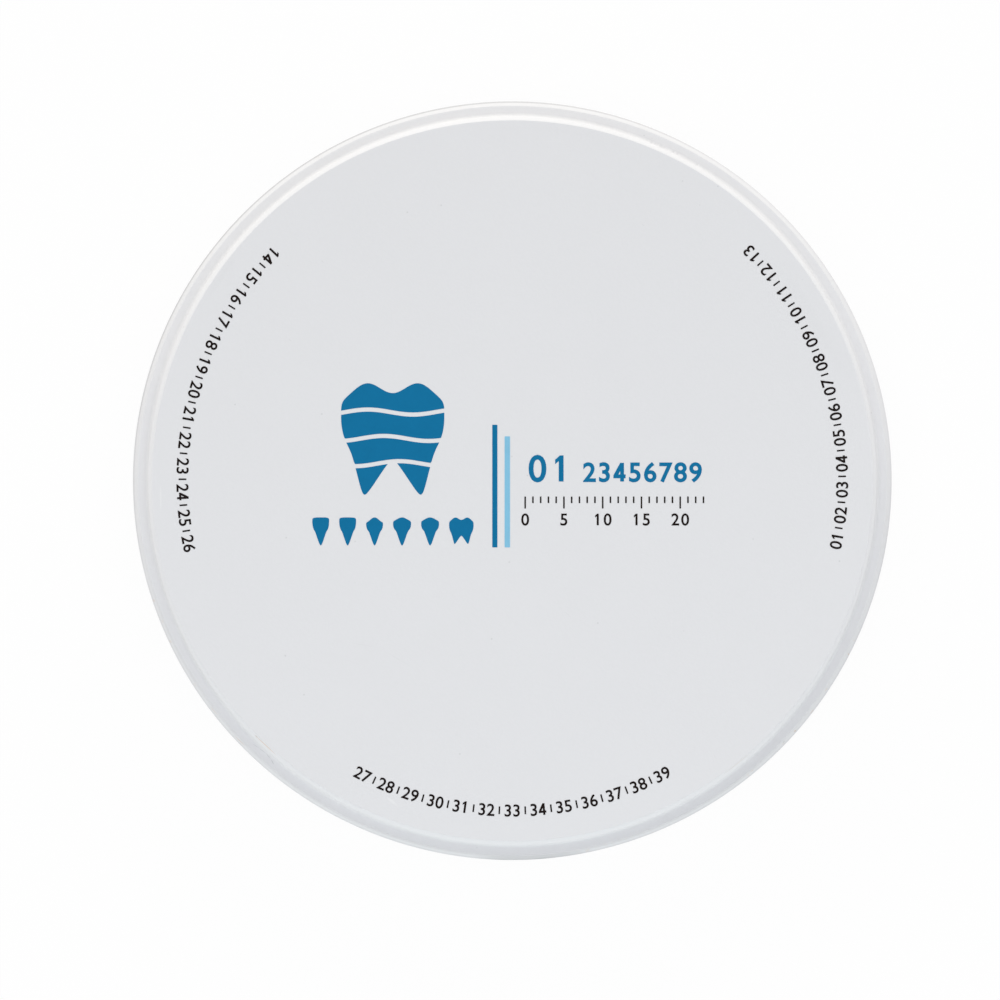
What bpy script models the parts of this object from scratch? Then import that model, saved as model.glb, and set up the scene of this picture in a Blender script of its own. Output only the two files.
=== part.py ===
"""Dental milling disc: a round blank of presintered zirconia, turned in one piece.

The disc lies on its lower face with +Z along its axis, and the origin is at the centre of that
face. The ring of a milling machine clamps the collar round its middle from above and below. A
round land stands up from each side of the collar. Discs of this class share one collar, and the
thicker ones have higher lands. Both sides are alike. All sizes are in metres.
"""

import math

import bmesh
import bpy

# The collar that the machine's ring holds.
COLLAR_DIAMETER = 0.098
COLLAR_THICKNESS = 0.010

# The land on each side, set in from the rim by the ledge that the ring bears on.
LAND_HEIGHT = 0.002
LEDGE_WIDTH = 0.002

# Edge breaks, measured along each of the two faces that they join.
LAND_CHAMFER = 0.0005
COLLAR_CHAMFER = 0.0006

# Radius in the corner between a land's wall and the ledge.
LEDGE_FILLET = 0.00045

# How finely the round forms are divided.
ROUND_SEGMENTS = 180
FILLET_SEGMENTS = 5

# Faces that meet at more than this keep a crisp edge between them.
CRISP_ANGLE = math.radians(30)

# Chalky, faintly cool white, as linear colour.
ZIRCONIA_COLOUR = (0.750, 0.757, 0.780, 1.0)
ZIRCONIA_ROUGHNESS = 0.8

# Worked out from the sizes above.
COLLAR_RADIUS = COLLAR_DIAMETER / 2
LAND_RADIUS = COLLAR_RADIUS - LEDGE_WIDTH
LEDGE_HEIGHT = COLLAR_THICKNESS / 2
FACE_HEIGHT = LEDGE_HEIGHT + LAND_HEIGHT


def clear_scene():
    """Removes the objects that are in the scene already."""
    for old in list(bpy.data.objects):
        bpy.data.objects.remove(old)


def ledge_fillet():
    """Points of the quarter circle that runs from the land's wall out to the ledge."""
    centre_radius = LAND_RADIUS + LEDGE_FILLET
    centre_height = LEDGE_HEIGHT + LEDGE_FILLET
    points = []
    for step in range(FILLET_SEGMENTS + 1):
        angle = math.pi + math.pi / 2 * step / FILLET_SEGMENTS
        radius = centre_radius + LEDGE_FILLET * math.cos(angle)
        height = centre_height + LEDGE_FILLET * math.sin(angle)
        points.append((radius, height))
    return points


def upper_section():
    """The section's outline above mid-thickness, as radius and height, from the face outwards."""
    return [
        (LAND_RADIUS - LAND_CHAMFER, FACE_HEIGHT),
        (LAND_RADIUS, FACE_HEIGHT - LAND_CHAMFER),
        *ledge_fillet(),
        (COLLAR_RADIUS - COLLAR_CHAMFER, LEDGE_HEIGHT),
        (COLLAR_RADIUS, LEDGE_HEIGHT - COLLAR_CHAMFER),
    ]


def disc_section():
    """The outline from the edge of the upper face to the edge of the lower one.

    The lower half mirrors the upper one, and the whole is raised until its lower face is at zero.
    """
    upper = upper_section()
    lower = [(radius, -height) for radius, height in reversed(upper)]
    return [(radius, height + FACE_HEIGHT) for radius, height in upper + lower]


def turned_mesh(name, section):
    """Spins a section through a full circle about Z, and closes the two flat ends."""
    lathe = bmesh.new()
    corners = [lathe.verts.new((radius, 0.0, height)) for radius, height in section]
    outline = [lathe.edges.new(pair) for pair in zip(corners, corners[1:])]
    bmesh.ops.spin(
        lathe,
        geom=corners + outline,
        cent=(0.0, 0.0, 0.0),
        axis=(0.0, 0.0, 1.0),
        angle=2 * math.pi,
        steps=ROUND_SEGMENTS,
        use_merge=True,
    )
    bmesh.ops.holes_fill(lathe, edges=lathe.edges, sides=ROUND_SEGMENTS)
    bmesh.ops.recalc_face_normals(lathe, faces=lathe.faces)
    mesh = bpy.data.meshes.new(name)
    lathe.to_mesh(mesh)
    lathe.free()
    return mesh


def zirconia():
    """Presintered zirconia: matt and chalk white."""
    material = bpy.data.materials.new("presintered_zirconia")
    material.use_nodes = True
    shader = material.node_tree.nodes["Principled BSDF"]
    shader.inputs["Base Color"].default_value = ZIRCONIA_COLOUR
    shader.inputs["Roughness"].default_value = ZIRCONIA_ROUGHNESS
    shader.inputs["Metallic"].default_value = 0.0
    material.diffuse_color = ZIRCONIA_COLOUR
    return material


def milling_disc():
    """The disc, with its round walls smooth and its chamfers crisp."""
    mesh = turned_mesh("milling_disc", disc_section())
    mesh.shade_smooth()
    mesh.set_sharp_from_angle(angle=CRISP_ANGLE)
    mesh.materials.append(zirconia())
    disc = bpy.data.objects.new("milling_disc", mesh)
    bpy.context.scene.collection.objects.link(disc)


clear_scene()
milling_disc()
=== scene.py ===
"""Dental milling disc: a turned zirconia blank with print on its face, on a plain studio floor.

The file is laid out as a Blender add-on. The packed solid gives the frame, and each operator makes
one piece, or one group of like pieces, in that frame. Sizes are in metres. +Z runs up the disc's
axis, and +Y points to the top of the print. Angles round the disc are anticlockwise from +X.
"""

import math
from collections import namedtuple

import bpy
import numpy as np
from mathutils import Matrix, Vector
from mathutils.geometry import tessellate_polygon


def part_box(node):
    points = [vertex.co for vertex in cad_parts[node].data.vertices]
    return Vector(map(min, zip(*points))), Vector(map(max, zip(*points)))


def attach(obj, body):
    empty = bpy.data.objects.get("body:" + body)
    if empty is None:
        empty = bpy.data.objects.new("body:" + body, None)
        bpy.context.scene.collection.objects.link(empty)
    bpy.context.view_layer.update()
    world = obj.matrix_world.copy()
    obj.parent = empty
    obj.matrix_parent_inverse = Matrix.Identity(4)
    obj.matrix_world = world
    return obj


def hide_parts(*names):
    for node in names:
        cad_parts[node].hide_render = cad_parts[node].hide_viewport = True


bl_info = {
    "name": "Dental Milling Disc",
    "version": (1, 0, 0),
    "blender": (4, 5, 0),
    "location": "View3D > Sidebar > Milling Disc",
    "description": "Turns a zirconia milling blank, prints its face and sets it on a studio floor",
    "category": "Add Mesh",
}

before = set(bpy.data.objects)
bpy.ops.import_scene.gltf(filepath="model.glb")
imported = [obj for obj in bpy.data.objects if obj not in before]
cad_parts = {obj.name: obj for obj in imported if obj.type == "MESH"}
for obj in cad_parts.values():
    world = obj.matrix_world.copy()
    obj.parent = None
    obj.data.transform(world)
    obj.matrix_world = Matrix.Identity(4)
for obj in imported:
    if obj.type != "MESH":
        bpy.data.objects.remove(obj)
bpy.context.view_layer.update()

DISC_NODE = "milling_disc"
BODY = "root"

MM = 0.001
DISC_LOW, DISC_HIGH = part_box(DISC_NODE)
FACE_Z = DISC_HIGH.z
DIAMETER = DISC_HIGH.x - DISC_LOW.x
THICKNESS = DISC_HIGH.z - DISC_LOW.z

# The photograph is a square of this many pixels. The disc's centre is at this pixel, from the left
# and from the top, and this many pixels make a millimetre of its rim.
PHOTO_WIDTH = 1000
PHOTO_DISC_CENTRE = (512.3, 480.7)
PIXELS_PER_MM = 7.744

# Places of the print, in millimetres across and up from the disc's axis.
EMBLEM_CENTRE = (-15.43, 5.23)
TOOTH_ROW_ENDS = (-25.8, -5.0)
TOOTH_ROW_FOOT = -8.24
DARK_BAR_SIDES = (-2.583, -1.924)
DARK_BAR_HEAD = 7.21
LIGHT_BAR_SIDES = (-0.994, -0.297)
LIGHT_BAR_HEAD = 5.72
BARS_FOOT = -8.60
NUMERALS_FOOT = -0.10
TALL_NUMERALS = {"0": 3.25, "1": 6.3}
SMALL_NUMERALS = "23456789"
SMALL_NUMERAL_ENDS = (9.95, 23.65)
RULER_START = 1.66
RULER_HEAD = -2.04
RULER_NUMERALS_FOOT = -5.75

# The ruler's lines, each fifth one long. A short line is a share of a long one, and the pitch of
# the figures in a number is a share of their height.
RULER_LINES = 24
LONG_LINE_EVERY = 5
SHORT_LINE = 0.55
FIGURE_PITCH = 0.85

# Each arc of the dial: the angle at its middle, and its first number.
DIAL_ARCS = {"dial_right": (16.5, 1), "dial_left": (164.0, 14), "dial_near": (270.0, 27)}
NUMBERS_IN_ARC = 13

# Ends of the dial's lines, in millimetres in from its circle.
DIAL_LINE_ENDS = (0.25, 1.25)

# Height of a numeral in the built-in font at size one, height of the two that are drawn here, and
# half the width of their strokes.
FONT_NUMERAL_HEIGHT = 0.691
DRAWN_NUMERAL_HEIGHT = 0.69
DRAWN_HALF_STROKE = 0.048

# Radius of the bars' corners in millimetres, and the points along the ends of a bar or a line.
BAR_CORNER = 0.06
BAR_POINTS = 13


def length(name, description, default, **extra):
    """A length that a user can change, shown in the scene's units."""
    return bpy.props.FloatProperty(
        name=name, description=description, default=default, unit="LENGTH", precision=5, **extra
    )


def colour(name, description, default):
    """A linear colour that a user can change."""
    return bpy.props.FloatVectorProperty(
        name=name, description=description, default=default, subtype="COLOR", min=0.0, max=1.0
    )


def angle(name, description, degrees):
    """An angle that a user can change."""
    return bpy.props.FloatProperty(
        name=name, description=description, default=math.radians(degrees), subtype="ANGLE"
    )


def amount(name, description, default, **extra):
    """A plain number that a user can change."""
    return bpy.props.FloatProperty(name=name, description=description, default=default, **extra)


class BlankSizes(bpy.types.PropertyGroup):
    """Sizes of the turned blank."""

    diameter: length("Diameter", "Across the collar", DIAMETER)
    thickness: length("Thickness", "From face to face", THICKNESS)
    collar_thickness: length("Collar thickness", "From ledge to ledge", 10 * MM)
    ledge_width: length("Ledge width", "From the rim in to the land's wall", 2 * MM)
    land_chamfer: length("Land chamfer", "On the edge of each face", 0.5 * MM)
    collar_chamfer: length("Collar chamfer", "On each edge of the rim", 0.6 * MM)
    ledge_fillet: length("Ledge fillet", "In the corner of each ledge", 0.45 * MM)
    face_edge: length("Face edge", "Rounding between the face and its chamfer", 0.12 * MM)
    worn_edge: length("Worn edge", "Rounding of the other edges", 0.16 * MM)
    segments: bpy.props.IntProperty(
        name="Segments", description="Divisions of the full circle", default=720, min=24
    )


class PrintSizes(bpy.types.PropertyGroup):
    """Sizes of the print on the upper face."""

    ink: length("Ink", "Thickness of the ink over the face", 0.02 * MM)
    emblem_height: length("Emblem height", "Of the large tooth", 14.8 * MM)
    layer_gap: length("Layer gap", "Between the bands of the large tooth", 0.55 * MM)
    row_height: length("Row height", "Of the small teeth", 3.5 * MM)
    tall_numeral: length("Tall numerals", "Height of the first two numerals", 3.36 * MM)
    small_numeral: length("Small numerals", "Height of the numerals after them", 2.4 * MM)
    scale_numeral: length("Scale numerals", "Height on the ruler and the dial", 1.5 * MM)
    bold: length("Bold", "Thickening of the large numerals on each side", 0.075 * MM)
    scale_bold: length("Scale bold", "Thickening of the scale numerals on each side", 0.03 * MM)
    line: length("Line", "Width of the ruler's and the dial's lines", 0.20 * MM)
    ruler_division: length("Ruler division", "From one line of the ruler to the next", 1 * MM)
    ruler_line: length("Ruler line", "Length of its long lines", 1.55 * MM)
    dial_radius: length("Dial radius", "To the foot of the dial's numerals", 43.3 * MM)
    dial_pitch: angle("Dial pitch", "From one numeral or line to the next", 1.5)


class FinishColours(bpy.types.PropertyGroup):
    """Colours of the blank and its inks."""

    zirconia: colour("Zirconia", "Chalky white of the blank", (0.750, 0.757, 0.780))
    rim: colour("Rim", "The same, turned afresh beyond each face", (0.780, 0.783, 0.802))
    brown: colour("Brown", "Handling marks along the rim", (0.66, 0.48, 0.35))
    # Grey also paints a shadow line along the front of the rim.
    grey: colour("Grey", "Specks, cracks and smudges", (0.40, 0.42, 0.42))
    pale: colour("Pale", "Rubbed places", (0.86, 0.87, 0.88))
    deep_blue: colour("Deep blue", "Teeth, dark bar and large numerals", (0.006, 0.159, 0.337))
    pale_blue: colour("Pale blue", "Light bar", (0.235, 0.533, 0.737))
    black: colour("Black", "Ruler and dial", (0.012, 0.008, 0.007))


class StudioLight(bpy.types.PropertyGroup):
    """Brightness of the studio. Each softbox is in watts."""

    room: amount("Room", "Even light from all round", 0.585)
    key: amount("Key", "Wide, low softbox beyond the top of the print", 12.9)
    overhead: amount("Overhead", "Softbox over the near half", 0.31)
    near_left: amount("Near left", "Softbox on the near side, to the left", 0.03)
    near_right: amount("Near right", "Softbox on the near side, to the right", 0.035)
    near_low: amount("Near low", "Low softbox on the near side", 1.2)
    left: amount("Left", "Low softbox on the left", 0.74)
    right: amount("Right", "Low softbox on the right", 0.42)
    camera_distance: length("Camera distance", "From the disc's face", 2.0)


# Turned blank


def rounded(corners, radii, steps, support):
    """Rounds the inner corners of a section.

    Each corner becomes an arc that touches both of its sides. Its centre lies on the corner's
    bisector, at the radius over the sine of half the corner's angle, and it turns in even steps.
    A further point lies a little way before and after each arc, so that shading stays flat beyond.
    """
    corners = np.asarray(corners, float)
    turn = np.linspace(0.0, 1.0, steps + 1)[:, None]
    made = [corners[:1]]
    for before, here, after, radius in zip(corners, corners[1:], corners[2:], radii):
        back = (before - here) / np.linalg.norm(before - here)
        on = (after - here) / np.linalg.norm(after - here)
        half = math.acos(np.clip(back @ on, -1.0, 1.0)) / 2
        reach = radius / math.tan(half)
        bisector = (back + on) / np.linalg.norm(back + on)
        centre = here + bisector * radius / math.sin(half)
        start = (here + back * reach - centre) / radius
        end = (here + on * reach - centre) / radius
        swing = math.acos(np.clip(start @ end, -1.0, 1.0))
        arc = (np.sin((1 - turn) * swing) * start + np.sin(turn * swing) * end) / math.sin(swing)
        made.append(here + back * (reach + support))
        made.append(centre + radius * arc)
        made.append(here + on * (reach + support))
    made.append(corners[-1:])
    return np.vstack(made)


def divided(section, longest):
    """Divides every stretch of a section that is longer than the longest allowed, evenly."""
    made = [section[:1]]
    for start, end in zip(section, section[1:]):
        parts = max(1, math.ceil(np.linalg.norm(end - start) / longest))
        steps = np.linspace(0.0, 1.0, parts + 1)[1:, None]
        made.append(start + (end - start) * steps)
    return np.vstack(made)


def blank_section(sizes):
    """The blank's section as radius and height, from the upper face's centre to the lower one's.

    The lower half is the upper half mirrored about mid-thickness.
    """
    rim = sizes.diameter / 2
    wall = rim - sizes.ledge_width
    face = sizes.thickness / 2
    ledge = sizes.collar_thickness / 2
    corners = [
        (0.0, face),
        (wall - sizes.land_chamfer, face),
        (wall, face - sizes.land_chamfer),
        (wall, ledge),
        (rim - sizes.collar_chamfer, ledge),
        (rim, ledge - sizes.collar_chamfer),
        (rim, 0.0),
    ]
    radii = (
        sizes.face_edge,
        sizes.worn_edge,
        sizes.ledge_fillet,
        sizes.face_edge,
        sizes.worn_edge,
    )
    upper = divided(rounded(corners, radii, steps=5, support=0.02 * MM), longest=9 * MM)
    lower = upper[-2::-1] * (1.0, -1.0)
    return np.vstack([upper, lower]) + (0.0, face)


def turned(section, angles):
    """Carries a section round Z, as one closed skin.

    The point at radius r and height h goes to (r cos a, r sin a, h) at each angle a. The first and
    last points of the section lie on the axis, and each is one vertex.
    """
    radius, height = section[1:-1].T
    rings = len(radius)
    around = len(angles)
    points = np.empty((around, rings, 3))
    points[..., 0] = np.cos(angles)[:, None] * radius
    points[..., 1] = np.sin(angles)[:, None] * radius
    points[..., 2] = height
    poles = [(0.0, 0.0, section[0, 1]), (0.0, 0.0, section[-1, 1])]
    here = np.arange(around)[:, None] * rings + np.arange(rings)
    there = np.roll(here, -1, axis=0)
    quads = np.stack([here[:, :-1], here[:, 1:], there[:, 1:], there[:, :-1]], axis=-1)
    top = np.full(around, around * rings)
    first = np.stack([top, here[:, 0], there[:, 0]], axis=-1)
    last = np.stack([top + 1, there[:, -1], here[:, -1]], axis=-1)
    faces = quads.reshape(-1, 4).tolist() + first.tolist() + last.tolist()
    return np.vstack([points.reshape(-1, 3), poles]), faces


# Chips along the foot of the upper fillet: the angle, the width and the depth in millimetres.
Nick = namedtuple("Nick", "angle width depth")
NICKS = (
    Nick(59.65, 0.22, 0.10),
    Nick(63.2, 0.20, 0.05),
    Nick(63.9, 0.26, 0.14),
    Nick(64.8, 0.22, 0.05),
    Nick(65.5, 0.26, 0.10),
    Nick(66.0, 0.36, 0.17),
    Nick(66.6, 0.24, 0.08),
    Nick(67.1, 0.26, 0.12),
    Nick(67.6, 0.34, 0.18),
    Nick(68.4, 0.18, 0.05),
)
NICK_RADIUS = 47.12
NICK_REACH = 0.14

# Where the nicks lie, and a little beyond, the angles are this close. Both are in radians.
NICKED_MARGIN = 0.01
NICKED_STEP = 0.0008


def spaced_angles(count):
    """Even angles round the circle, and closer ones where the nicks lie."""
    even = np.arange(count) * 2 * math.pi / count
    nicked = np.radians([chip.angle for chip in NICKS])
    close = np.arange(nicked.min() - NICKED_MARGIN, nicked.max() + NICKED_MARGIN, NICKED_STEP)
    clear = even[(even < close[0]) | (even > close[-1])]
    return np.sort(np.concatenate([clear, close]))


def nick(points, ledge):
    """Lowers the foot of the upper fillet at each nick, but not below the ledge.

    A nick takes off its depth times two bells, exp(-u^2): along the foot u is twice the way from its
    middle over its width, and across the foot u is the way from the nicks' radius over their reach.
    """
    x, y, z = points.T / MM
    radius = np.hypot(x, y)
    turn = np.arctan2(y, x)
    across = np.exp(-(((radius - NICK_RADIUS) / NICK_REACH) ** 2))
    taken = np.zeros(len(points))
    for chip in NICKS:
        along = (turn - math.radians(chip.angle)) * radius / (chip.width / 2)
        taken = np.maximum(taken, chip.depth * np.exp(-(along**2)) * across)
    above = np.where(z > ledge / MM, z - ledge / MM, 0.0)
    lowered = points.copy()
    lowered[:, 2] -= np.minimum(taken, above) * MM
    return lowered


# Flat shapes of the print, in millimetres

Flat = namedtuple("Flat", "points triangles")


def between(x, foot, head):
    """A strip between two curves: the point at share v of the way up is foot(x) + v (head(x) - foot(x))."""
    points = np.stack([np.column_stack([x, foot]), np.column_stack([x, head])], axis=1)
    index = np.arange(2 * len(x)).reshape(-1, 2)
    low, low_next, high, high_next = index[:-1, 0], index[1:, 0], index[:-1, 1], index[1:, 1]
    first = np.stack([low, low_next, high_next], axis=-1)
    second = np.stack([low, high_next, high], axis=-1)
    return Flat(points.reshape(-1, 2), np.vstack([first, second]))


def gathered(start, end, count):
    """Values from start to end that lie closer towards both, at half of 1 - cos of an even turn."""
    turn = np.linspace(0.0, math.pi, count)
    return start + (end - start) * (1 - np.cos(turn)) / 2


def bar(left, right, foot, head, corner):
    """An upright bar with round corners.

    Within a corner's radius of a side, the ends draw back by the radius less the root of its
    square less the square of the way into the corner.
    """
    x = gathered(left, right, BAR_POINTS)
    into = np.maximum(np.abs(x - (left + right) / 2) - (right - left) / 2 + corner, 0.0)
    back = corner - np.sqrt(np.maximum(corner**2 - into**2, 0.0))
    return between(x, foot + back, head - back)


def joined(flats):
    """Several flat shapes as one."""
    starts = np.cumsum([0] + [len(flat.points) for flat in flats[:-1]])
    triangles = [flat.triangles + start for flat, start in zip(flats, starts)]
    return Flat(np.vstack([flat.points for flat in flats]), np.vstack(triangles))


def placed(flat, place, turn=0.0):
    """A flat shape turned about its origin and moved to a place."""
    c, s = math.cos(turn), math.sin(turn)
    return Flat(flat.points @ np.array([[c, s], [-s, c]]) + place, flat.triangles)


def slab(flat, low, high):
    """Raises a flat shape to a closed slab: the shape at both heights, and a wall on each free edge."""
    a, b, c = (flat.points[flat.triangles[:, corner]] for corner in range(3))
    area = (b - a)[:, 0] * (c - a)[:, 1] - (b - a)[:, 1] * (c - a)[:, 0]
    triangles = np.where(area[:, None] < 0, flat.triangles[:, ::-1], flat.triangles)
    count = len(flat.points)
    edges = triangles[:, [[0, 1], [1, 2], [2, 0]]].reshape(-1, 2)
    free = edges[~np.isin(edges @ (count, 1), edges @ (1, count))]
    walls = np.column_stack([free, free[:, ::-1] + count])
    across = flat.points * MM
    points = np.vstack([np.column_stack([across, np.full(count, z)]) for z in (low, high)])
    faces = (triangles + count).tolist() + triangles[:, ::-1].tolist() + walls.tolist()
    return points, faces


# A tooth in outline. Width is a share of its height. The heights of its belly, its underside's
# shoulder and its fork are shares too, and so are the neck's way in from the belly and the place of
# a root's tip, of half its width.
Tooth = namedtuple("Tooth", "width belly cusps groove neck shoulder tip fork")
MOLAR = Tooth(0.90, 0.72, 2, 0.09, 0.18, 0.22, 0.55, 0.40)
PREMOLAR = Tooth(0.66, 0.76, 1, 0.10, 0.32, 0.22, 0.10, None)
CANINE = Tooth(0.62, 0.76, 1, 0.16, 0.30, 0.24, 0.10, None)
INCISOR = Tooth(0.62, 0.88, 0, 0.0, 0.28, 0.34, 0.10, None)

# Roundings of a root's tip, of its neck and of the fork, in the same shares.
TIP_ROUNDING = 0.16
NECK_ROUNDING = 0.10
FORK_ROUNDING = 0.08

# A tooth is worked out at these places over its width. A strip has fewer points, and a part that is
# narrower than this many places is left out.
ACROSS = np.linspace(-1.0, 1.0, 2401)
STRIP_POINTS = 72
NARROWEST_STRIP = 24

# The waves that part the bands of the large tooth: the level of each, their height, how far the
# sine turns from the middle to a side, and how far it shifts from one to the next, in radians.
WAVE_LEVELS = (0.295, 0.515, 0.745)
WAVE_HEIGHT = 0.022
WAVE_TURN = 3.6
WAVE_SHIFT = 1.1


def soft_lesser(first, second, blend):
    """The lesser of two curves with their crossing rounded: (a + b - root((a - b)^2 + blend^2)) / 2."""
    return (first + second - np.sqrt((first - second) ** 2 + blend**2)) / 2


def biting_edge(x, tooth):
    """Top of a tooth, over x from -1 to 1, as a share of its height.

    The edge is a wave with one crest for each cusp, and it falls to the belly at both sides as a
    superellipse of power 4.
    """
    wave = (1 - np.cos(math.pi * tooth.cusps * (x + 1))) / 2
    peak = 1 - tooth.groove * (1 - wave)
    return tooth.belly + (peak - tooth.belly) * (1 - x**4) ** 0.25


def root_edge(x, tooth):
    """Foot of a tooth, over x from -1 to 1, as a share of its height.

    From each side the edge runs under the crown as a quarter ellipse to the neck, and then down the
    root's outer side at an even slope. Between two roots it rises evenly to the fork. The tips are
    the rounded crossings of these lines.
    """
    deepest = tooth.belly + TIP_ROUNDING / 2
    inward = 1 - np.abs(x)
    past = inward - tooth.neck
    under = tooth.shoulder * np.sqrt(1 - (1 - np.minimum(inward / tooth.neck, 1.0)) ** 2)
    slope = (deepest - tooth.shoulder) / (1 - tooth.neck - tooth.tip)
    outer = under + slope * (past + np.sqrt(past**2 + NECK_ROUNDING**2)) / 2
    fork = deepest if tooth.fork is None else tooth.fork
    between_roots = np.sqrt(x**2 + FORK_ROUNDING**2) - FORK_ROUNDING
    inner = fork + (deepest - fork) / tooth.tip * between_roots
    return tooth.belly - soft_lesser(outer, inner, TIP_ROUNDING)


def tooth_region(tooth, height, foot, head):
    """The part of a tooth that lies between two levels over its width, as flats in millimetres.

    The tooth stands on y = 0 with its middle at x = 0. Each stretch of x where the part has any
    height becomes one strip.
    """
    half = tooth.width * height / 2
    low = np.maximum(root_edge(ACROSS, tooth), foot)
    high = np.minimum(biting_edge(ACROSS, tooth), head)
    ends = np.flatnonzero(np.diff(np.concatenate([[False], high > low, [False]]).astype(int)))
    flats = []
    for start, stop in zip(ends[::2], ends[1::2] - 1):
        if stop - start < NARROWEST_STRIP:
            continue
        along = gathered(ACROSS[start], ACROSS[stop], STRIP_POINTS)
        under = np.interp(along, ACROSS, low)
        over = np.interp(along, ACROSS, high)
        flats.append(between(along * half, under * height, over * height))
    return flats


def whole_tooth(tooth, height):
    """A tooth in one piece."""
    return joined(tooth_region(tooth, height, -math.inf, math.inf))


def layered_tooth(height, gap):
    """A molar in four bands, parted by waves that run across it.

    Each wave is its level plus a share of the sine of x, and the waves shift along from one to the
    next.
    """
    half_gap = gap / height / 2
    lines = [-math.inf]
    for count, level in enumerate(WAVE_LEVELS, 1):
        lines.append(level + WAVE_HEIGHT * np.sin(WAVE_TURN * ACROSS + WAVE_SHIFT * count))
    lines.append(math.inf)
    flats = []
    for foot, head in zip(lines, lines[1:]):
        flats += tooth_region(MOLAR, height, foot + half_gap, head - half_gap)
    return joined(flats)


def numeral_one(height, bold):
    """The numeral one: an upright with a flag, centred on the upright."""
    unit = height / DRAWN_NUMERAL_HEIGHT
    extra = bold / unit
    half = DRAWN_HALF_STROKE + extra
    outline = np.array([
        (half, 0.0),
        (half, DRAWN_NUMERAL_HEIGHT),
        (0.03 - half, DRAWN_NUMERAL_HEIGHT),
        (-0.16, 0.575),
        (-0.16, 0.475 - extra),
        (-half, 0.555 - extra),
        (-half, 0.0),
    ])
    triangles = tessellate_polygon([[Vector((x, y, 0.0)) for x, y in outline]])
    return Flat(outline * unit, np.array(triangles))


def numeral_four(height, bold):
    """The numeral four: an upright, a crossbar and a slope, with an open counter between them.

    The counter's slope is the outer slope moved in by a little more than the thickness of a stroke.
    """
    unit = height / DRAWN_NUMERAL_HEIGHT
    half = DRAWN_HALF_STROKE + bold / unit
    upright = 0.085
    crossbar = 0.19
    left = -0.235
    right = 0.215
    head = np.array([upright - half, DRAWN_NUMERAL_HEIGHT])
    heel = np.array([left, crossbar + half * 0.6])
    slope = (heel - head) / np.linalg.norm(heel - head)
    inner = head + 2.1 * half * np.array([-slope[1], slope[0]])
    under_head = inner + slope * (upright - half - inner[0]) / slope[0]
    over_heel = inner + slope * (crossbar + half - inner[1]) / slope[1]
    outline = np.array([
        (upright - half, 0.0),
        (upright + half, 0.0),
        (upright + half, crossbar - half),
        (right, crossbar - half),
        (right, crossbar + half),
        (upright + half, crossbar + half),
        (upright + half, DRAWN_NUMERAL_HEIGHT),
        head,
        heel,
        (left, crossbar - half),
        (upright - half, crossbar - half),
    ])
    counter = np.array([(upright - half, crossbar + half), over_heel, under_head])

    # They are filled aslant, because level rows of corners would make triangles without area.
    aslant = Matrix.Rotation(0.5, 3, "Z")
    loops = [[aslant @ Vector((x, y, 0.0)) for x, y in loop] for loop in (outline, counter)]
    return Flat(np.vstack([outline, counter]) * unit, np.array(tessellate_polygon(loops)))


def numeral_flats(height, bold=0.0):
    """Flat shapes of the ten numerals, each standing on y = 0 with its middle at x = 0."""
    flats = {"1": numeral_one(height, bold), "4": numeral_four(height, bold)}
    for numeral in "02356789":
        curve = bpy.data.curves.new("numeral", "FONT")
        curve.body = numeral
        curve.align_x = "CENTER"
        curve.size = height / FONT_NUMERAL_HEIGHT
        curve.offset = bold
        curve.resolution_u = 5
        text = bpy.data.objects.new("numeral", curve)
        mesh = bpy.data.meshes.new_from_object(text)
        mesh.calc_loop_triangles()
        points = np.array([vertex.co[:2] for vertex in mesh.vertices])
        triangles = np.array([triangle.vertices[:] for triangle in mesh.loop_triangles])
        flats[numeral] = Flat(points, triangles)
        bpy.data.objects.remove(text)
        bpy.data.curves.remove(curve)
        bpy.data.meshes.remove(mesh)
    return flats


def dial_arc(sizes, middle, first):
    """One arc of the dial: numbers of two numerals, with a line after each but the last.

    Everything sits at an even pitch. Numerals stand on the outer circle, with their tops inwards.
    """
    radius = sizes.dial_radius / MM
    numerals = numeral_flats(sizes.scale_numeral / MM, sizes.scale_bold / MM)
    half_line = sizes.line / MM / 2
    line = bar(-half_line, half_line, *DIAL_LINE_ENDS, corner=half_line / 2)
    row = []
    for number in range(first, first + NUMBERS_IN_ARC):
        row += [numerals[numeral] for numeral in f"{number:02d}"] + [line]
    row = row[:-1]
    flats = []
    for step, flat in enumerate(row):
        at = math.radians(middle) + (step - (len(row) - 1) / 2) * sizes.dial_pitch
        place = (radius * math.cos(at), radius * math.sin(at))
        flats.append(placed(flat, place, at + math.pi / 2))
    return joined(flats)


def ruler(sizes):
    """A ruler: lines at an even pitch, each fifth one long, with its number under it."""
    division = sizes.ruler_division / MM
    half_line = sizes.line / MM / 2
    long_line = sizes.ruler_line / MM
    numerals = numeral_flats(sizes.scale_numeral / MM, sizes.scale_bold / MM)
    pitch = FIGURE_PITCH * sizes.scale_numeral / MM
    flats = []
    for step in range(RULER_LINES):
        x = RULER_START + step * division
        sides = (x - half_line, x + half_line)
        is_long = step % LONG_LINE_EVERY == 0
        foot = RULER_HEAD - (long_line if is_long else SHORT_LINE * long_line)
        flats.append(bar(*sides, foot, RULER_HEAD, corner=half_line / 2))
        figures = str(step) if is_long else ""
        for count, figure in enumerate(figures):
            middle = x + (count - (len(figures) - 1) / 2) * pitch
            flats.append(placed(numerals[figure], (middle, RULER_NUMERALS_FOOT)))
    return joined(flats)


def make_piece(name, points, faces, material, smooth=False):
    """Puts worked-out points and faces into a mesh object that rides on the part."""
    mesh = bpy.data.meshes.new(name)
    mesh.from_pydata(points, [], faces)
    mesh.update()
    if smooth:
        mesh.shade_smooth()
    mesh.materials.append(material)
    made = bpy.data.objects.new(name, mesh)
    bpy.context.scene.collection.objects.link(made)
    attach(made, BODY)
    return made


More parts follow.
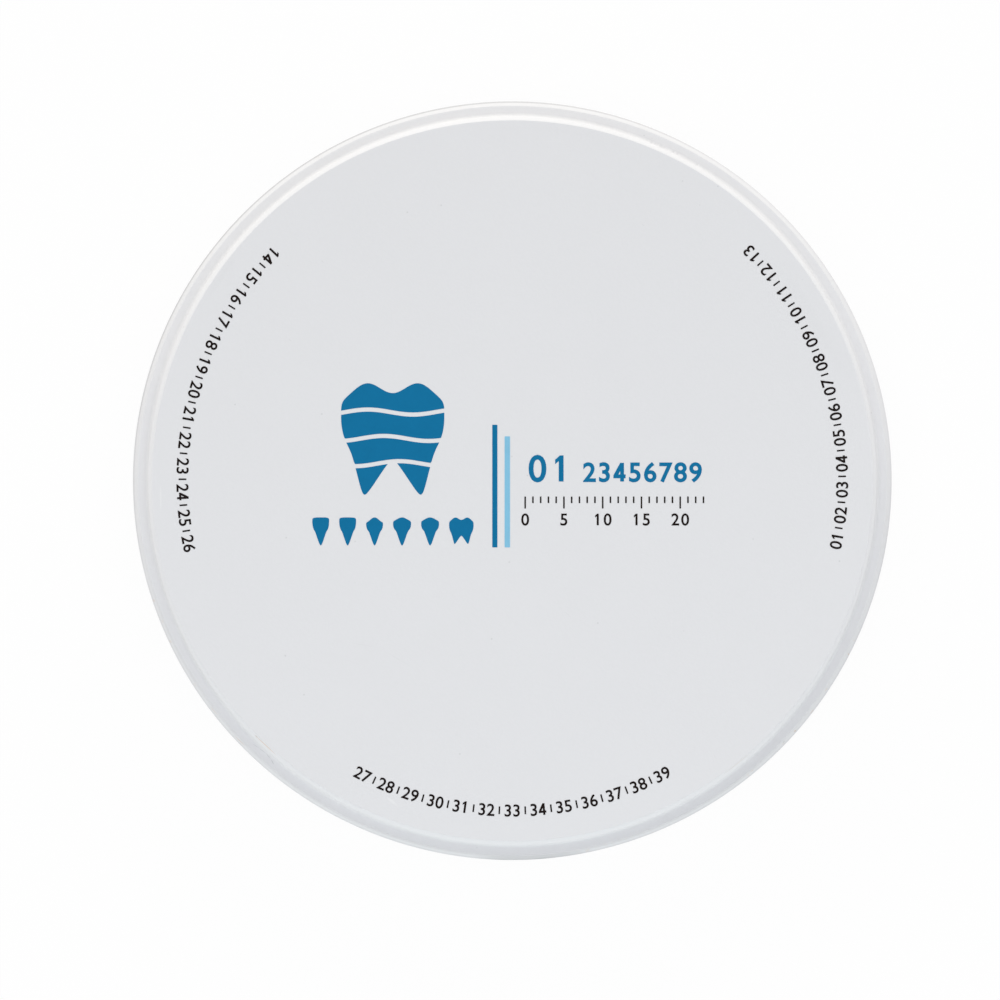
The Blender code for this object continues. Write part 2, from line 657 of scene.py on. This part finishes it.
def print_piece(name, flat, slot):
    """A slab of ink on the face. Its underside is sunk in, so that no gap shows at its foot."""
    thickness = bpy.context.scene.milling_print.ink
    points, faces = slab(flat, FACE_Z - thickness, FACE_Z + thickness)
    make_piece(name, points, faces, ink(slot))


# Materials

# Waves to a metre: in the powder's grain, in its faint clouds, in the turning lines across the
# section, in the brown flecks, and where ink has pooled.
GRAIN_WAVES = 2600.0
CLOUD_WAVES = 110.0
TURNING_WAVES = 5200.0
FLECK_WAVES = 700.0
POOL_WAVES = 420.0


def add_node(tree, kind, values=None, **settings):
    """Adds a shader node, sets its plain settings, and sets or links its inputs by name or place."""
    made = tree.nodes.new(kind)
    for key, value in settings.items():
        setattr(made, key, value)
    for key, value in (values or {}).items():
        if isinstance(value, bpy.types.NodeSocket):
            tree.links.new(value, made.inputs[key])
        else:
            made.inputs[key].default_value = value
    return made


def arithmetic(tree, operation, *values):
    """One step of arithmetic on sockets or numbers."""
    return add_node(tree, "ShaderNodeMath", dict(enumerate(values)), operation=operation).outputs[0]


def rescaled(tree, value, start, end, low, high):
    """Takes a value from between start and end to between low and high, eased at both ends."""
    values = {"Value": value, "From Min": start, "From Max": end, "To Min": low, "To Max": high}
    made = add_node(tree, "ShaderNodeMapRange", values, interpolation_type="SMOOTHSTEP")
    return made.outputs["Result"]


def outside(tree, radius, start, end):
    """Zero inside the first radius and one outside the second, both in millimetres."""
    return rescaled(tree, radius, start * MM, end * MM, 0.0, 1.0)


def inside(tree, radius, start, end):
    """One inside the first radius and zero outside the second, both in millimetres."""
    return rescaled(tree, radius, start * MM, end * MM, 1.0, 0.0)


def blended(tree, share, first, second):
    """Mixes two colours by a share."""
    values = {"Factor": share, 6: first, 7: second}
    return add_node(tree, "ShaderNodeMix", values, data_type="RGBA").outputs[2]


def noise(tree, place, scale, detail=2.0, roughness=0.5):
    """Soft noise from 0 to 1, with this many waves to a metre."""
    values = {"Vector": place, "Scale": scale, "Detail": detail, "Roughness": roughness}
    return add_node(tree, "ShaderNodeTexNoise", values).outputs["Fac"]


def start_material(name):
    """A new material, its tree, its shader and the place on the object."""
    material = bpy.data.materials.new(name)
    material.use_nodes = True
    tree = material.node_tree
    shader = tree.nodes["Principled BSDF"]
    place = add_node(tree, "ShaderNodeTexCoord").outputs["Object"]
    return material, tree, shader, place


def connect(tree, shader, **sockets):
    """Links sockets to the shader's inputs. An underscore stands for a space."""
    for name, socket in sockets.items():
        tree.links.new(socket, shader.inputs[name.replace("_", " ")])


# Marks on the upper side: the angle and the radius in millimetres of each middle, its length and
# width in millimetres, how far it leans from the way round, in degrees, and its strength.
Mark = namedtuple("Mark", "angle radius length width lean strength")
BROWN_MARKS = (
    Mark(227.0, 46.66, 5.0, 0.17, 0.0, 0.58),
    Mark(225.0, 46.69, 0.7, 0.22, 0.0, 0.28),
    Mark(217.6, 48.66, 2.1, 0.14, 3.0, 0.38),
    Mark(223.7, 48.64, 2.6, 0.15, 3.0, 0.50),
    Mark(332.7, 48.90, 0.6, 0.20, 62.0, 0.62),
    Mark(326.4, 48.70, 0.9, 0.17, -5.0, 0.42),
    Mark(322.4, 48.86, 1.2, 0.18, 0.0, 0.48),
    Mark(318.5, 48.77, 0.66, 0.30, -8.0, 0.52),
    Mark(309.6, 48.62, 0.7, 0.18, -4.0, 0.38),
    Mark(308.5, 46.63, 5.6, 0.12, 0.0, 0.25),
)
GREY_AND_SHADOW_MARKS = (
    Mark(226.0, 47.64, 1.5, 0.15, 10.0, 0.34),
    Mark(227.25, 47.50, 1.6, 0.15, 6.0, 0.42),
    Mark(228.45, 47.51, 1.4, 0.15, -8.0, 0.44),
    Mark(229.55, 47.74, 1.1, 0.18, -20.0, 0.56),
    Mark(225.0, 46.68, 0.6, 0.22, 0.0, 0.36),
    Mark(318.5, 48.78, 0.60, 0.26, -8.0, 0.34),
    Mark(316.1, 48.66, 0.6, 0.19, 0.0, 0.46),
    # These two are a painted shadow along the front of the rim.
    Mark(268.2, 48.95, 4.6, 0.14, 0.0, 0.34),
    Mark(274.4, 48.92, 3.0, 0.19, 0.0, 0.62),
    Mark(130.9, 37.39, 0.5, 0.16, -85.0, 0.16),
    Mark(147.7, 33.93, 0.5, 0.16, 78.0, 0.16),
    Mark(62.9, 37.04, 0.5, 0.16, -17.0, 0.16),
    Mark(227.5, 28.70, 4.7, 0.14, 32.0, 0.06),
    Mark(237.7, 27.32, 5.8, 0.18, 2.0, 0.05),
    Mark(292.7, 18.80, 1.8, 0.14, -67.0, 0.08),
    Mark(306.3, 44.10, 1.0, 0.14, 84.0, 0.10),
    Mark(69.1, 47.71, 0.36, 0.24, 0.0, 0.30),
    Mark(67.8, 47.72, 0.30, 0.20, 0.0, 0.18),
    Mark(27.9, 44.0, 20.0, 2.4, 4.0, 0.02),
    Mark(145.4, 45.8, 9.0, 1.0, 0.0, 0.03),
)
PALE_MARKS = (
    Mark(249.4, 44.18, 2.4, 0.50, -18.0, 0.35),
    Mark(182.8, 45.41, 4.4, 0.30, -2.0, 0.30),
)

# A mark reaches this far down from the upper face.
MARK_DEPTH = 6 * MM


def marked(tree, place, marks):
    """The strongest of some marks at each point, from 0 to 1.

    Each is an ellipse on the upper side, at full strength inside and faint towards its outline.
    """
    strongest = 0.0
    for mark in marks:
        at = math.radians(mark.angle)
        values = {
            "Vector": place,
            "Location": (mark.radius * MM * math.cos(at), mark.radius * MM * math.sin(at), FACE_Z),
            "Rotation": (0.0, 0.0, at + math.pi / 2 + math.radians(mark.lean)),
            "Scale": (mark.length * MM / 2, mark.width * MM / 2, MARK_DEPTH),
        }
        own = add_node(tree, "ShaderNodeMapping", values, vector_type="TEXTURE").outputs[0]
        away = add_node(tree, "ShaderNodeVectorMath", {0: own}, operation="LENGTH").outputs["Value"]
        shown = rescaled(tree, away, 0.3, 1.0, mark.strength, 0.0)
        strongest = arithmetic(tree, "MAXIMUM", shown, strongest)
    return strongest


def specks(tree, place):
    """Scattered dark specks, from 0 to 1.

    The cells are 2.2 mm across. One in five holds a speck, a tenth of a millimetre in radius.
    """
    cells = add_node(tree, "ShaderNodeTexVoronoi", {"Vector": place, "Scale": 450.0})
    near = rescaled(tree, cells.outputs["Distance"], 0.03, 0.075, 1.0, 0.0)
    chance = add_node(tree, "ShaderNodeSeparateColor", {0: cells.outputs["Color"]}).outputs[0]
    return arithmetic(tree, "MULTIPLY", near, arithmetic(tree, "GREATER_THAN", chance, 0.8))


def towards(tree, place, degrees):
    """How far each point lies from the axis towards an angle."""
    turn = math.radians(degrees)
    values = {0: place, 1: (math.cos(turn), math.sin(turn), 0.0)}
    made = add_node(tree, "ShaderNodeVectorMath", values, operation="DOT_PRODUCT")
    return made.outputs["Value"]


def greyed(tree, place, radius):
    """The share of the white taken off as painted shade on the upper side.

    The collar is painted a little grey as painted shade, most of all on its near right. So are the
    foot of its bevel on the near side and the whole bevel right in front, as a painted shadow along
    the near rim, and the rim's line, as painted shade of the side wall, most of all on the far left.
    The bevel loses the greater of its two shares. Its front is where the cosine of the angle from the
    darkest place is close to one.
    """
    collar = outside(tree, radius, 47.05, 47.35)
    bevel = outside(tree, radius, 48.25, 48.55)
    bevel_foot = arithmetic(
        tree, "MULTIPLY", outside(tree, radius, 48.27, 48.47), inside(tree, radius, 48.50, 48.70)
    )
    rim_line = outside(tree, radius, 48.74, 48.90)
    diagonal = towards(tree, place, 122.0)
    near_right = rescaled(tree, diagonal, -15 * MM, -45 * MM, 0.0, 0.045)
    far_left = rescaled(tree, diagonal, 12 * MM, 50 * MM, 0.06, 0.24)
    near_side = rescaled(tree, towards(tree, place, 255.0), 14 * MM, 34 * MM, 0.0, 0.085)
    cosine = arithmetic(tree, "DIVIDE", towards(tree, place, 273.3), radius)
    front = rescaled(tree, cosine, 0.9845, 0.9992, 0.0, 0.150)

    on_foot = arithmetic(tree, "MULTIPLY", bevel_foot, near_side)
    on_bevel = arithmetic(tree, "MAXIMUM", on_foot, arithmetic(tree, "MULTIPLY", bevel, front))
    on_collar = arithmetic(tree, "MULTIPLY_ADD", collar, near_right, on_bevel)
    return arithmetic(tree, "MULTIPLY_ADD", rim_line, far_left, on_collar)


def zirconia_material(colours):
    """Chalky presintered zirconia: fine powder grain, turning lines at the rim, specks and marks, with
    painted shade along the rim and a painted highlight on the chamfers.
    """
    material, tree, shader, place = start_material("zirconia")
    grain = noise(tree, place, GRAIN_WAVES, detail=3.0, roughness=0.6)
    clouds = noise(tree, place, CLOUD_WAVES)
    flat = add_node(tree, "ShaderNodeVectorMath", {0: place, 1: (1, 1, 0)}, operation="MULTIPLY")
    radius = add_node(tree, "ShaderNodeVectorMath", {0: flat.outputs[0]}, operation="LENGTH")
    radius = radius.outputs["Value"]
    height = add_node(tree, "ShaderNodeSeparateXYZ", {0: place}).outputs["Z"]
    section = add_node(tree, "ShaderNodeCombineXYZ", {"X": radius, "Y": height}).outputs[0]
    turning = noise(tree, section, TURNING_WAVES, detail=1.0)
    at_rim = outside(tree, radius, 46.3, 46.9)
    turning = arithmetic(tree, "MULTIPLY", arithmetic(tree, "SUBTRACT", turning, 0.5), at_rim)

    tone = arithmetic(tree, "MULTIPLY_ADD", grain, 0.030, 0.985)
    tone = arithmetic(tree, "MULTIPLY_ADD", arithmetic(tree, "SUBTRACT", clouds, 0.5), 0.016, tone)
    tone = arithmetic(tree, "MULTIPLY_ADD", turning, 0.02, tone)

    # The wall and the lower side stay clean: the painted shade and the brown flecks are kept to the upper
    # side.
    upper_side = rescaled(tree, height, 10.9 * MM, 11.2 * MM, 0.0, 1.0)
    # Painted shade along the rim, taken off the white.
    painted_shade = arithmetic(tree, "MULTIPLY", greyed(tree, place, radius), upper_side)
    tone = arithmetic(tree, "SUBTRACT", tone, painted_shade)

    # The chamfer round each face is painted a little brighter, a painted highlight for the light it
    # catches.
    chamfer_highlight = arithmetic(
        tree, "MULTIPLY", outside(tree, radius, 46.40, 46.55), inside(tree, radius, 46.95, 47.10)
    )
    tone = arithmetic(tree, "MULTIPLY_ADD", chamfer_highlight, 0.033, tone)
    chalk = blended(tree, at_rim, (*colours.zirconia, 1.0), (*colours.rim, 1.0))
    body = add_node(tree, "ShaderNodeVectorMath", {0: chalk, "Scale": tone}, operation="SCALE")
    body = body.outputs[0]
    speckled = arithmetic(tree, "MULTIPLY", specks(tree, place), 0.27)
    grey = arithmetic(tree, "MAXIMUM", speckled, marked(tree, place, GREY_AND_SHADOW_MARKS))
    body = blended(tree, grey, body, (*colours.grey, 1.0))
    body = blended(tree, marked(tree, place, PALE_MARKS), body, (*colours.pale, 1.0))

    flecks = rescaled(tree, noise(tree, place, FLECK_WAVES, detail=3.0), 0.64, 0.76, 0.0, 0.30)
    on_rim = arithmetic(tree, "MULTIPLY", outside(tree, radius, 48.45, 48.8), upper_side)
    unevenly = rescaled(tree, towards(tree, place, 90.0), 20 * MM, -30 * MM, 0.25, 1.0)
    flecks = arithmetic(tree, "MULTIPLY", arithmetic(tree, "MULTIPLY", flecks, on_rim), unevenly)
    brown = arithmetic(tree, "MAXIMUM", flecks, marked(tree, place, BROWN_MARKS))
    body = blended(tree, brown, body, (*colours.brown, 1.0))

    relief = arithmetic(tree, "MULTIPLY_ADD", turning, 0.45, grain)
    values = {"Height": relief, "Strength": 0.35, "Distance": 0.03 * MM}
    bump = add_node(tree, "ShaderNodeBump", values)
    shader.inputs["Specular IOR Level"].default_value = 0.3
    connect(
        tree,
        shader,
        Base_Color=body,
        Roughness=arithmetic(tree, "MULTIPLY_ADD", grain, 0.16, 0.72),
        Normal=bump.outputs["Normal"],
    )
    return material


def ink_material(name, tint):
    """Pad-printed ink that has dried into the chalk: matt, with the chalk's grain showing through."""
    material, tree, shader, place = start_material(name)
    grain = noise(tree, place, GRAIN_WAVES, detail=3.0, roughness=0.6)
    pooled = noise(tree, place, POOL_WAVES)
    tone = arithmetic(tree, "MULTIPLY_ADD", grain, 0.10, 0.95)
    tone = arithmetic(tree, "MULTIPLY_ADD", arithmetic(tree, "SUBTRACT", pooled, 0.5), 0.10, tone)
    body = add_node(tree, "ShaderNodeVectorMath", {0: tint, "Scale": tone}, operation="SCALE")
    values = {"Height": grain, "Strength": 0.3, "Distance": 0.02 * MM}
    bump = add_node(tree, "ShaderNodeBump", values)
    shader.inputs["Specular IOR Level"].default_value = 0.05
    connect(
        tree,
        shader,
        Base_Color=body.outputs[0],
        Roughness=arithmetic(tree, "MULTIPLY_ADD", grain, 0.14, 0.62),
        Normal=bump.outputs["Normal"],
    )
    return material


def ink(slot):
    """The ink of a slot, made once."""
    if slot in bpy.data.materials:
        return bpy.data.materials[slot]
    colours = bpy.context.scene.milling_colours
    return ink_material(slot, getattr(colours, slot.removesuffix("_ink")))


# Operators


class MILLING_DISC_OT_turn_blank(bpy.types.Operator):
    """Turns the blank, which stands for the packed solid"""

    bl_idname = "milling_disc.turn_blank"
    bl_label = "Turn Blank"

    def execute(self, context):
        sizes = context.scene.milling_blank
        points, faces = turned(blank_section(sizes), spaced_angles(sizes.segments))
        points = nick(points, (sizes.thickness + sizes.collar_thickness) / 2)
        material = zirconia_material(context.scene.milling_colours)
        blank = make_piece("zirconia_blank", points, faces, material, smooth=True)
        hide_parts(DISC_NODE)
        return {"FINISHED"}


class MILLING_DISC_OT_print_emblem(bpy.types.Operator):
    """Prints the large tooth in its bands"""

    bl_idname = "milling_disc.print_emblem"
    bl_label = "Print Emblem"

    def execute(self, context):
        sizes = context.scene.milling_print
        height = sizes.emblem_height / MM
        place = (EMBLEM_CENTRE[0], EMBLEM_CENTRE[1] - height / 2)
        flat = placed(layered_tooth(height, sizes.layer_gap / MM), place)
        print_piece("layered_tooth", flat, "deep_blue_ink")
        return {"FINISHED"}


class MILLING_DISC_OT_print_tooth_row(bpy.types.Operator):
    """Prints the row of six small teeth"""

    bl_idname = "milling_disc.print_tooth_row"
    bl_label = "Print Tooth Row"

    def execute(self, context):
        height = context.scene.milling_print.row_height / MM
        teeth = (INCISOR, INCISOR, CANINE, PREMOLAR, PREMOLAR, MOLAR)
        widths = np.array([tooth.width * height for tooth in teeth])
        left, right = TOOTH_ROW_ENDS
        gap = (right - left - widths.sum()) / (len(teeth) - 1)
        middles = left + np.cumsum(widths + gap) - gap - widths / 2
        flats = [
            placed(whole_tooth(tooth, height), (middle, TOOTH_ROW_FOOT))
            for tooth, middle in zip(teeth, middles)
        ]
        print_piece("tooth_row", joined(flats), "deep_blue_ink")
        return {"FINISHED"}


class MILLING_DISC_OT_print_bars(bpy.types.Operator):
    """Prints the dark and the light upright bar"""

    bl_idname = "milling_disc.print_bars"
    bl_label = "Print Bars"

    def execute(self, context):
        dark = bar(*DARK_BAR_SIDES, BARS_FOOT, DARK_BAR_HEAD, BAR_CORNER)
        light = bar(*LIGHT_BAR_SIDES, BARS_FOOT, LIGHT_BAR_HEAD, BAR_CORNER)
        print_piece("dark_bar", dark, "deep_blue_ink")
        print_piece("light_bar", light, "pale_blue_ink")
        return {"FINISHED"}


class MILLING_DISC_OT_print_numerals(bpy.types.Operator):
    """Prints the large numerals"""

    bl_idname = "milling_disc.print_numerals"
    bl_label = "Print Numerals"

    def execute(self, context):
        sizes = context.scene.milling_print
        tall = numeral_flats(sizes.tall_numeral / MM, sizes.bold / MM)
        small = numeral_flats(sizes.small_numeral / MM, sizes.bold / MM)
        middles = np.linspace(*SMALL_NUMERAL_ENDS, len(SMALL_NUMERALS))
        flats = [placed(tall[n], (x, NUMERALS_FOOT)) for n, x in TALL_NUMERALS.items()]
        flats += [placed(small[n], (x, NUMERALS_FOOT)) for n, x in zip(SMALL_NUMERALS, middles)]
        print_piece("large_numerals", joined(flats), "deep_blue_ink")
        return {"FINISHED"}


class MILLING_DISC_OT_print_scales(bpy.types.Operator):
    """Prints the ruler, and the dial's three arcs round the rim"""

    bl_idname = "milling_disc.print_scales"
    bl_label = "Print Scales"

    def execute(self, context):
        sizes = context.scene.milling_print
        print_piece("ruler", ruler(sizes), "black_ink")
        for name, (middle, first) in DIAL_ARCS.items():
            print_piece(name, dial_arc(sizes, middle, first), "black_ink")
        return {"FINISHED"}


# Studio

# The floor reaches this far from the axis, in metres, and lies this far below the disc. Where the
# camera sees it, it is this share of plain white, and the rest keeps a soft shadow.
FLOOR_REACH = 2.0
FLOOR_GAP = 0.05 * MM
FLOOR_COLOUR = (0.9, 0.9, 0.9, 1.0)
FLOOR_WHITE_SHARE = 0.95
WHITE = (1.0, 1.0, 1.0, 1.0)

# Tint of the even light from all round.
ROOM_TINT = (0.972, 0.975, 1.0, 1.0)

# Width of the camera's sensor in millimetres.
SENSOR_WIDTH = 36.0

# Softboxes face the disc: the angle of each, its height above the face in degrees, its distance,
# width and height in metres, and its tint.
Softbox = namedtuple("Softbox", "angle elevation distance width height tint")
SOFTBOXES = {
    "key": Softbox(90, 20, 1.4, 1.90, 0.30, (1.0, 0.965, 0.88)),
    "overhead": Softbox(280, 66, 0.35, 0.35, 0.35, (0.93, 0.97, 1.0)),
    "near_left": Softbox(232, 36, 0.4, 0.25, 0.13, (0.80, 0.90, 1.0)),
    "near_right": Softbox(308, 38, 0.4, 0.25, 0.13, (0.80, 0.90, 1.0)),
    "near_low": Softbox(270, 5, 0.8, 0.40, 0.07, (0.90, 1.0, 0.90)),
    "left": Softbox(170, 17, 0.8, 0.40, 0.15, (1.0, 0.95, 0.8)),
    "right": Softbox(8, 17, 0.8, 0.40, 0.15, (1.0, 0.95, 0.8)),
}


def hang_softbox(name, box, watts):
    """Hangs a rectangular area light that faces the middle of the disc's upper face."""
    light = bpy.data.lights.new(name, "AREA")
    light.shape = "RECTANGLE"
    light.size = box.width
    light.size_y = box.height
    light.energy = watts
    light.color = box.tint
    lamp = bpy.data.objects.new(name, light)
    at = math.radians(box.angle)
    up = math.radians(box.elevation)
    out = box.distance * math.cos(up)
    lamp.location = (
        out * math.cos(at),
        out * math.sin(at),
        box.distance * math.sin(up) + FACE_Z,
    )
    lamp.rotation_euler = (math.pi / 2 - up, 0.0, at + math.pi / 2)
    lamp.visible_camera = False
    bpy.context.scene.collection.objects.link(lamp)


def seen_directly(tree):
    """One where the camera sees a surface straight, in a mirror or through glass, and else zero."""
    path = add_node(tree, "ShaderNodeLightPath")
    seen = path.outputs["Is Camera Ray"]
    for ray in ("Is Glossy Ray", "Is Transmission Ray"):
        seen = arithmetic(tree, "MAXIMUM", seen, path.outputs[ray])
    return seen


def studio_world(strength):
    """Even light from all round, seen as white."""
    world = bpy.data.worlds.new("studio")
    world.use_nodes = True
    tree = world.node_tree
    tree.nodes.clear()
    room = add_node(tree, "ShaderNodeBackground", {"Color": ROOM_TINT, "Strength": strength})
    white = add_node(tree, "ShaderNodeBackground", {"Color": WHITE, "Strength": 1.0})
    values = {0: seen_directly(tree), 1: room.outputs[0], 2: white.outputs[0]}
    mixed = add_node(tree, "ShaderNodeMixShader", values)
    add_node(tree, "ShaderNodeOutputWorld", {"Surface": mixed.outputs[0]})
    bpy.context.scene.world = world


def floor_material():
    """Matt white floor that the camera sees as white, with a soft shadow kept on it."""
    material = bpy.data.materials.new("studio_floor")
    material.use_nodes = True
    tree = material.node_tree
    tree.nodes.clear()
    matt = add_node(tree, "ShaderNodeBsdfDiffuse", {"Color": FLOOR_COLOUR})
    white = add_node(tree, "ShaderNodeEmission", {"Color": WHITE, "Strength": 1.0})
    seen = arithmetic(tree, "MULTIPLY", seen_directly(tree), FLOOR_WHITE_SHARE)
    mixed = add_node(tree, "ShaderNodeMixShader", {0: seen, 1: matt.outputs[0], 2: white.outputs[0]})
    add_node(tree, "ShaderNodeOutputMaterial", {"Surface": mixed.outputs[0]})
    return material


class MILLING_DISC_OT_set_stage(bpy.types.Operator):
    """Makes the floor, the light and the camera"""

    bl_idname = "milling_disc.set_stage"
    bl_label = "Set Stage"

    def execute(self, context):
        scene = context.scene
        light = scene.milling_light
        blank = scene.milling_blank
        below = DISC_LOW.z - FLOOR_GAP
        mesh = bpy.data.meshes.new("floor")
        square = ((-1, -1), (1, -1), (1, 1), (-1, 1))
        corners = [(x * FLOOR_REACH, y * FLOOR_REACH, below) for x, y in square]
        mesh.from_pydata(corners, [], [(0, 1, 2, 3)])
        mesh.materials.append(floor_material())
        floor = bpy.data.objects.new("floor", mesh)
        scene.collection.objects.link(floor)
        studio_world(light.room)
        for name, box in SOFTBOXES.items():
            hang_softbox(name, box, getattr(light, name))

        # The photograph's scale is that of the rim, which lies below the face.
        rim_distance = light.camera_distance + (blank.thickness - blank.collar_thickness) / 2
        lens = bpy.data.cameras.new("camera")
        lens.sensor_width = SENSOR_WIDTH
        lens.lens = lens.sensor_width * rim_distance / (PHOTO_WIDTH / PIXELS_PER_MM * MM)
        camera = bpy.data.objects.new("camera", lens)
        camera.location = (
            (PHOTO_WIDTH / 2 - PHOTO_DISC_CENTRE[0]) / PIXELS_PER_MM * MM,
            (PHOTO_DISC_CENTRE[1] - PHOTO_WIDTH / 2) / PIXELS_PER_MM * MM,
            light.camera_distance + FACE_Z,
        )
        scene.collection.objects.link(camera)
        scene.camera = camera
        scene.view_settings.view_transform = "Standard"
        return {"FINISHED"}


STEPS = (
    MILLING_DISC_OT_turn_blank,
    MILLING_DISC_OT_print_emblem,
    MILLING_DISC_OT_print_tooth_row,
    MILLING_DISC_OT_print_bars,
    MILLING_DISC_OT_print_numerals,
    MILLING_DISC_OT_print_scales,
    MILLING_DISC_OT_set_stage,
)
SETTINGS = {
    "milling_blank": BlankSizes,
    "milling_print": PrintSizes,
    "milling_colours": FinishColours,
    "milling_light": StudioLight,
}


class MILLING_DISC_PT_steps(bpy.types.Panel):
    """Lists the steps in order, and what each one reads"""

    bl_idname = "MILLING_DISC_PT_steps"
    bl_label = "Milling Disc"
    bl_space_type = "VIEW_3D"
    bl_region_type = "UI"
    bl_category = "Milling Disc"

    def draw(self, context):
        for step in STEPS:
            self.layout.operator(step.bl_idname)
        for name, group in SETTINGS.items():
            column = self.layout.box().column()
            column.label(text=group.__doc__)
            for setting in group.__annotations__:
                column.prop(getattr(context.scene, name), setting)


def register():
    for made in (*SETTINGS.values(), *STEPS, MILLING_DISC_PT_steps):
        bpy.utils.register_class(made)
    for name, group in SETTINGS.items():
        setattr(bpy.types.Scene, name, bpy.props.PointerProperty(type=group))


def unregister():
    for name in SETTINGS:
        delattr(bpy.types.Scene, name)
    for made in (MILLING_DISC_PT_steps, *reversed(STEPS), *SETTINGS.values()):
        bpy.utils.unregister_class(made)


def main():
    """Registers the classes, and makes every piece and the stage."""
    register()
    bpy.ops.milling_disc.turn_blank()
    bpy.ops.milling_disc.print_emblem()
    bpy.ops.milling_disc.print_tooth_row()
    bpy.ops.milling_disc.print_bars()
    bpy.ops.milling_disc.print_numerals()
    bpy.ops.milling_disc.print_scales()
    bpy.ops.milling_disc.set_stage()


if __name__ == "__main__":
    main()
